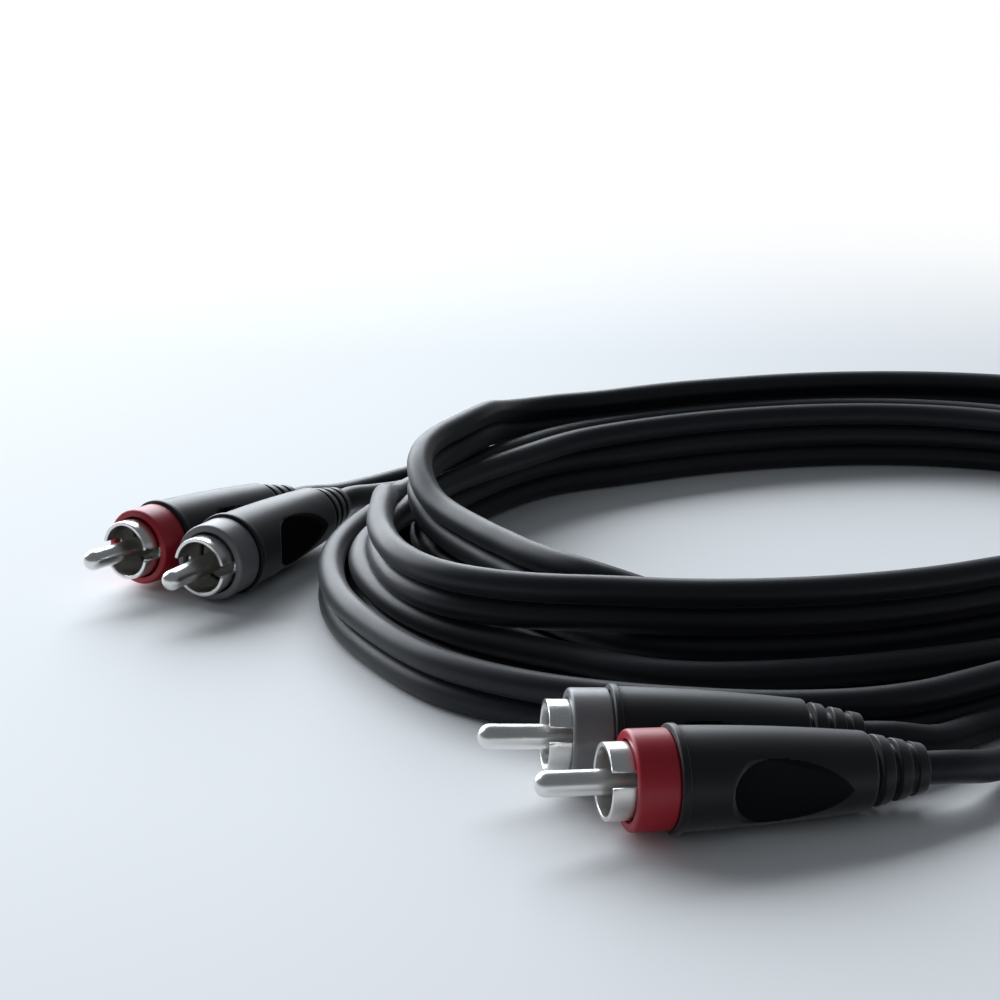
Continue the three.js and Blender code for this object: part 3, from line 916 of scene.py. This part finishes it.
UPPER_TURN = stations(
    (74, 11.6), (50, 11.8), (20, 12.0), (350, 13.2), (335, 14.4), (320, 15.2, 7.0), (305, 15.4, 11.0),
    (295, 15.2, 12.6), (275, 15.8, 12.6), (263, 16.6, 12.6), (257, 16.3, 12.6), (246, 16.3, 12.6),
    (235, 16.1, 12.6), (216, 15.1, 12.6), (211, 13.7, 12.6), (206, 12.1, 12.6), (200.7, 10.6, 12.6),
    (195.4, 9.4, 12.6), (190.4, 8.4, 12.6), (180, 8.6, 12.6), (172, 9.4, 12.6), (164, 9.9, 12.6),
    (156, 10.2, 12.6), (150, 10.1, 12.6), (144, 9.8, 11.6, 45), (138, 9.5, 10.5, 0),
    (129, 9.6, 10.5, 0), (120, 10.2, 10.5, 0), (115, 10.4, 10.5, 0), (110, 10.2, 10.5, 0),
    (105.6, 9.4, 10.5, 0), (101, 8.6, 10.5, 0), (96.7, 8.6, 10.5, 0), (92, 8.9, 10.5, 0),
)
TOP_TURN = stations(
    (74, 9.6, 10.5, 0), (50, 10.4, 10.5, 0), (22, 12.4, 10.5, 0), (6, 16.6, 10.4, 45), (352, 18.2, 7.6),
    (338, 18.8, 4.2), (320, 19.5), (302, 19.8), (280, 20.4), (263, 21.3), (245, 20.8), (236, 21.0, 5.2),
    (226, 21.6, 8.6), (216, 21.2, 11.4), (209, 21.4, 12.6), (203, 22.6, 12.6), (196, 23.8, 12.6),
    (185, 25.0, 12.6), (171.6, 24.3, 12.6), (160.3, 21.9, 12.6), (155, 19.6, 12.7), (151.6, 17.8, 13.4),
    (148, 16.0, 14.6), (144, 14.2, 15.9), (140, 12.9, 16.7), (134, 11.3, 16.8), (129.6, 10.2, 16.8),
    (125, 9.7, 16.8), (120, 9.3, 16.9), (116, 7.6, 16.9), (112, 5.2, 16.0), (108, 2.5, 14.3),
    (104, 0.2, 13.1), (100.3, -0.4, 12.9), (96, 1.0, 12.6), (92, 2.35, 12.6),
)
LAST_PART = stations(
    (74, 3.2, 12.6), (50, 2.4, 12.6), (20, 0.6, 12.6), (0, -0.8, 12.6), (345, -2.6, 12.0),
    (332, -3.4, 8.0), (318, -3.6, 4.2), (311, -3.7, 4.2, 72), (304, -3.8, 3.65, 45),
)
TURNS = (OUTER_TURN, SECOND_TURN, INNER_TURN, UPPER_TURN, TOP_TURN, LAST_PART)

# Middles of the twin's two tails, from the plugs and from the near end, in millimetres on the table.
START_TAIL = ((2.6, 97.0), (11.1, 102.3), (20.6, 107.1), (30.6, 111.0), (40.7, 113.4))
END_TAIL = ((98.9, -17.4), (106.6, -12.8), (114.1, -6.9), (121.6, 0.4), (126.9, 7.5))


@dataclass
class Cable:
    """The coiled twin lead as its two conductors' jackets, each from a plug to the plug of its colour.

    Attributes:
        plugs: The four plugs.
        diameter: Diameter of one lead in millimetres.
        pair_gap: Distance between the middles of the twin's leads, which touch.
        tail_height: Height of a tail's middle.
        centre: Middle of the oval on the table.
        turn: Degrees from +X to the oval's long axis.
        long_reach: Half the oval's length.
        short_reach: Half its width.
        loop_step: Degrees between the points of a turn that its route keeps.
        fine_steps: Steps between two such points, over which the running mean works.
        mean_reach: Steps that the running mean takes in on each side.
        tucked_in: How far a lead starts inside its housing.
        curve_samples: Points worked out on each span of the smooth curve.
        ring_step: Distance between the rings of a jacket.
        sides: Points round a ring.
    """

    plugs: dict[str, Plug]
    diameter: float = 4.2
    pair_gap: float = 4.12
    tail_height: float = 2.15
    centre: tuple[float, float] = (60.6, 43.3)
    turn: float = 30.0
    long_reach: float = 88.0
    short_reach: float = 66.0
    loop_step: float = 5.0
    fine_steps: int = 5
    mean_reach: int = 5
    tucked_in: float = 4.0
    curve_samples: int = 12
    ring_step: float = 2.0
    sides: int = 26

    def oval(self, angle: np.ndarray, inset: np.ndarray) -> tuple[np.ndarray, np.ndarray]:
        """Points inside the oval: the ellipse's own point less its outward normal times the inset.

        Args:
            angle: Angles from the long axis in radians.
            inset: Distances inside it in millimetres.

        Returns:
            The points on the table, and the outward normals.
        """
        turn = math.radians(self.turn)
        spin = np.array([[math.cos(turn), math.sin(turn)], [-math.sin(turn), math.cos(turn)]])
        on = np.stack([self.long_reach * np.cos(angle), self.short_reach * np.sin(angle)], axis=1)
        normal = unit(np.stack([np.cos(angle) / self.long_reach, np.sin(angle) / self.short_reach], axis=1))
        return (on - normal * inset[:, None]) @ spin + np.array(self.centre), normal @ spin

    def wound(self) -> tuple[np.ndarray, np.ndarray]:
        """Winds the coil. The stations of all turns are strung together, with the angle falling steadily;
        between them inset, height and lean change evenly, and a running mean rounds the changes. The
        twin's middle is never lower than the table lets its lower lead go.

        Returns:
            The middle of the twin, and at each point the unit vector towards its red lead.
        """
        rows = [s for turn in TURNS for s in turn]
        angle = np.unwrap(np.radians([s.angle for s in rows]))
        table = np.array([(s.inset, s.height, s.lean) for s in rows])
        fine = np.arange(angle[0], angle[-1], -math.radians(self.loop_step / self.fine_steps))
        values = np.stack([np.interp(-fine, -angle, column) for column in table.T], axis=1)
        window = np.hanning(2 * self.mean_reach + 3)[1:-1]
        window /= window.sum()
        padded = np.pad(values, ((self.mean_reach, self.mean_reach), (0, 0)), mode="edge")
        smooth = np.stack([np.convolve(column, window, "valid") for column in padded.T], axis=1)
        inset, height, lean = smooth[:: self.fine_steps].T
        plan, normal = self.oval(fine[:: self.fine_steps], inset)
        lean = np.radians(lean)[:, None]
        lowest = (self.diameter + self.pair_gap * np.sin(lean[:, 0])) / 2
        middle = np.column_stack([plan, np.maximum(height, lowest)])
        towards_red = np.hstack([normal * np.cos(lean), np.sin(lean)])
        return middle, towards_red

    def flat_tail(
        self, route: tuple[tuple[float, float], ...], red_on_left: bool
    ) -> tuple[np.ndarray, np.ndarray]:
        """Lays a tail of the twin flat on the table.

        Args:
            route: Its points in millimetres.
            red_on_left: True if the red lead is on the left of the way that the route runs.

        Returns:
            The middle of the twin, and at each point the unit vector towards its red lead.
        """
        plan = np.array(route)
        along = unit(np.gradient(plan, axis=0))
        side = np.column_stack([-along[:, 1], along[:, 0], np.zeros(len(plan))])
        middle = np.column_stack([plan, np.full(len(plan), self.tail_height)])
        return middle, side if red_on_left else -side

    def from_plug(self, name: str) -> np.ndarray:
        """Starts a lead: straight through its strain relief, and then along its route."""
        plug = self.plugs[name]
        front, end = plug.body_end, plug.relief_end
        axis = np.zeros((4, 3))
        axis[:, 0] = front - self.tucked_in, front, end, end + self.diameter
        return np.vstack([plug.placed(axis) / MM, np.array(plug.lay.lead)])

    def route(self, colour: Colour) -> np.ndarray:
        """Strings one conductor's route together, from its plug at one end to that at the other.

        Returns:
            Points in millimetres.
        """
        sign = 1.0 if colour is Colour.RED else -1.0
        half = sign * self.pair_gap / 2
        start, start_side = self.flat_tail(START_TAIL, red_on_left=True)
        end, end_side = self.flat_tail(END_TAIL, red_on_left=False)
        coil, coil_side = self.wound()
        return np.vstack(
            [
                self.from_plug(f"end_a_{colour.value}"),
                start + half * start_side,
                coil + half * coil_side,
                (end + half * end_side)[::-1],
                self.from_plug(f"end_b_{colour.value}")[::-1],
            ]
        )

    def smoothed(self, points: np.ndarray) -> np.ndarray:
        """A smooth curve through points: on each span the cubic that has the points' own slopes, where
        the run along the curve is measured by the square root of the distance.

        Args:
            points: Rows of points in millimetres.

        Returns:
            Points a ring step apart along the curve.
        """
        run = run_along(points, 0.5)
        slope = np.gradient(points, run, axis=0)
        fine = np.linspace(0.0, run[-1], self.curve_samples * len(points))
        span = np.clip(np.searchsorted(run, fine, side="right") - 1, 0, len(run) - 2)
        width = (run[span + 1] - run[span])[:, None]
        t = (fine[:, None] - run[span][:, None]) / width
        curve = (
            (2 * t**3 - 3 * t**2 + 1) * points[span]
            + (t**3 - 2 * t**2 + t) * width * slope[span]
            + (3 * t**2 - 2 * t**3) * points[span + 1]
            + (t**3 - t**2) * width * slope[span + 1]
        )
        length = run_along(curve)
        even = np.linspace(0.0, length[-1], int(length[-1] / self.ring_step) + 1)
        return np.stack([np.interp(even, length, curve[:, k]) for k in range(3)], axis=1)

    def jacket(self, colour: Colour) -> bpy.types.Object:
        """Makes one conductor's jacket: a circle carried along its route, square to it at each ring.

        Returns:
            The piece.
        """
        path = self.smoothed(self.route(colour))
        along = unit(np.gradient(path, axis=0))
        side = unit(np.cross(along, np.array([0.0, 0.0, 1.0])))
        over = np.cross(side, along)
        angle = np.linspace(0.0, 2 * np.pi, self.sides, endpoint=False)[None, :, None]
        circle = np.cos(angle) * side[:, None, :] + np.sin(angle) * over[:, None, :]
        points = path[:, None, :] + self.diameter / 2 * circle
        run = run_along(path)
        ones = np.ones((len(path), self.sides))
        marks = np.stack(
            [np.cos(angle[..., 0]) * ones, np.sin(angle[..., 0]) * ones, run[:, None] * ones * MM], axis=-1
        )
        made = Surface(points * MM, False, DRAWN, marks).piece(f"{colour.value}_lead")
        plug = self.plugs[f"end_a_{colour.value}"]
        start = plug.placed(np.array([plug.relief_end, 0.0, 0.0]))
        LOG.info("%s: %.3f m", made.name, run[-1] * MM)
        return made

    def build(self, finishes: Finishes) -> None:
        """Makes both jackets in the place of the leads, the twin's tails and its coil."""
        shared = ("end_a_twin_tail", "end_b_twin_tail", "cable_coil")
        for colour in Colour:
            piece = self.jacket(colour)
            finishes.dress(piece, Slot.JACKET)
            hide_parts(f"end_a_{colour.value}_lead", f"end_b_{colour.value}_lead", *shared)
            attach(piece, "root")


def dress_inner_nodes(nodes: dict[str, bpy.types.Object], finishes: Finishes) -> None:
    """Gives the stripped ends inside the housings their finishes.

    Args:
        nodes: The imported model's nodes.
        finishes: The finishes.
    """
    by_ending = {"_conductor": Slot.COPPER, "_dielectric": Slot.DIELECTRIC, "_shield": Slot.COPPER}
    for name, node in nodes.items():
        for ending, slot in by_ending.items():
            if name.endswith(ending):
                finishes.dress(node, slot)


@dataclass
class Studio:
    """The camera, the pale table and the soft light.

    Attributes:
        focal_length: In millimetres, as the sensor's width is.
        position: Place of the camera.
        look_down: Degrees that it looks down.
        clip: The nearest and the farthest that it sees.
        table_reach: How far the table reaches from its middle.
        near_colour: The table's colour in front.
        far_colour: Its deeper colour at the back, painted shade that evens out the stronger light where the
            lamp is nearer.
        deepening: The two y between which one passes into the other.
        middle: Middle of the coil and plugs, which the lamp is aimed at.
        fade: Distances from the middle between which the table passes into white.
        key_place: Place of the lamp.
    """

    focal_length: float = 71.2
    sensor_width: float = 36.0
    position: Point = (0.0066, -0.2742, 0.1086)
    look_down: float = 17.07
    clip: tuple[float, float] = (0.01, 100.0)
    table_reach: float = 40.0
    table_roughness: float = 0.7
    table_specular: float = 0.2
    near_colour: Rgb = (0.94, 0.945, 0.95)
    # The far colour is painted shade against the lamp's stronger light at the back.
    far_colour: Rgb = (0.74, 0.745, 0.75)
    deepening: tuple[float, float] = (-0.05, 0.2)
    middle: Point = (0.03, 0.03, 0.0)
    fade: tuple[float, float] = (0.16, 0.42)
    world_colour: Rgb = (0.86, 0.93, 1.0)
    world_level: float = 0.16
    key_colour: Rgb = (0.88, 0.94, 1.0)
    key_power: float = 42.0
    key_size: tuple[float, float] = (1.9, 1.1)
    key_place: Point = (-0.57, 1.07, 0.61)

    def camera(self) -> None:
        """Makes the camera: it looks along +Y and down, as the photograph does."""
        data = bpy.data.cameras.new("camera")
        data.lens = self.focal_length
        data.sensor_width = self.sensor_width
        data.clip_start, data.clip_end = self.clip
        camera = linked("camera", data)
        camera.location = self.position
        camera.rotation_euler = (math.radians(90.0 - self.look_down), 0.0, 0.0)
        bpy.context.scene.camera = camera

    def table(self) -> None:
        """Makes the table, a plain sheet whose colour deepens towards the lamp behind it, as painted shade
        that evens out the lamp's light.
        """
        reach = self.table_reach
        mesh = bpy.data.meshes.new("table")
        corners = [(-reach, -reach, 0), (reach, -reach, 0), (reach, reach, 0), (-reach, reach, 0)]
        mesh.from_pydata(corners, [], [(0, 1, 2, 3)])
        table = linked("table", mesh)
        sheet = Shading("pale_table")
        depth = sheet.node("SeparateXYZ", {"Vector": sheet.place}).outputs["Y"]
        surface = {
            "Base Color": sheet.tint(sheet.ramp(depth, self.deepening), self.near_colour, self.far_colour),
            "Roughness": self.table_roughness,
            "Specular IOR Level": self.table_specular,
        }
        sheet.fill(sheet.shader, surface)
        self.fade_to_white(sheet)
        mesh.materials.append(sheet.material)

    def fade_to_white(self, sheet: Shading) -> None:
        """Lets the table pass into a white backdrop all round the cable, for what the camera sees and
        what metal mirrors. Nearer than the fade it stays as it is, with the cable's shadow.
        """
        away = sheet.node("VectorMath", {0: sheet.place, 1: self.middle}, operation="DISTANCE")
        rays = sheet.node("LightPath", {}).outputs
        seen = rays["Is Camera Ray"]
        for kind in ("Is Glossy Ray", "Is Transmission Ray"):
            seen = sheet.math("MAXIMUM", seen, rays[kind])
        fading = sheet.ramp(away.outputs["Value"], self.fade, interpolation_type="SMOOTHSTEP")
        share = sheet.math("MULTIPLY", seen, fading)
        white = sheet.node("Emission", {}).outputs["Emission"]
        layers = {0: share, 1: sheet.shader.outputs["BSDF"], 2: white}
        shown = sheet.node("MixShader", layers).outputs["Shader"]
        sheet.fill(sheet.nodes["Material Output"], {"Surface": shown})

    def light(self) -> None:
        """Lights the table: an even pale surround, and one large lamp behind and to the left."""
        world = bpy.data.worlds.new("surround")
        world.use_nodes = True
        background = world.node_tree.nodes["Background"]
        background.inputs["Color"].default_value = (*self.world_colour, 1.0)
        background.inputs["Strength"].default_value = self.world_level
        bpy.context.scene.world = world
        data = bpy.data.lights.new("key", "AREA")
        data.shape = "RECTANGLE"
        data.size, data.size_y = self.key_size
        data.energy = self.key_power
        data.color = self.key_colour
        lamp = linked("key", data)
        away = np.array(self.key_place) - np.array(self.middle)
        away /= np.linalg.norm(away)
        lamp.location = self.key_place
        lamp.rotation_euler = (math.acos(away[2]), 0.0, math.atan2(away[0], -away[1]))

    def build(self) -> None:
        """Sets the table and the light, and plain colours."""
        bpy.context.scene.view_settings.view_transform = "Standard"
        self.table()
        self.light()


def main() -> None:
    """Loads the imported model, and makes the camera, the cable, its plugs and the studio."""
    logging.basicConfig(level=logging.INFO, format="%(name)s: %(message)s")
    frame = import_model()
    studio = Studio()
    studio.camera()
    finishes = Finishes()
    plugs = {lay.name: Plug(lay) for lay in LAYS}
    Cable(plugs).build(finishes)
    for plug in plugs.values():
        plug.build(finishes)
    dress_inner_nodes(frame["nodes"], finishes)
    studio.build()


if __name__ == "__main__":
    main()
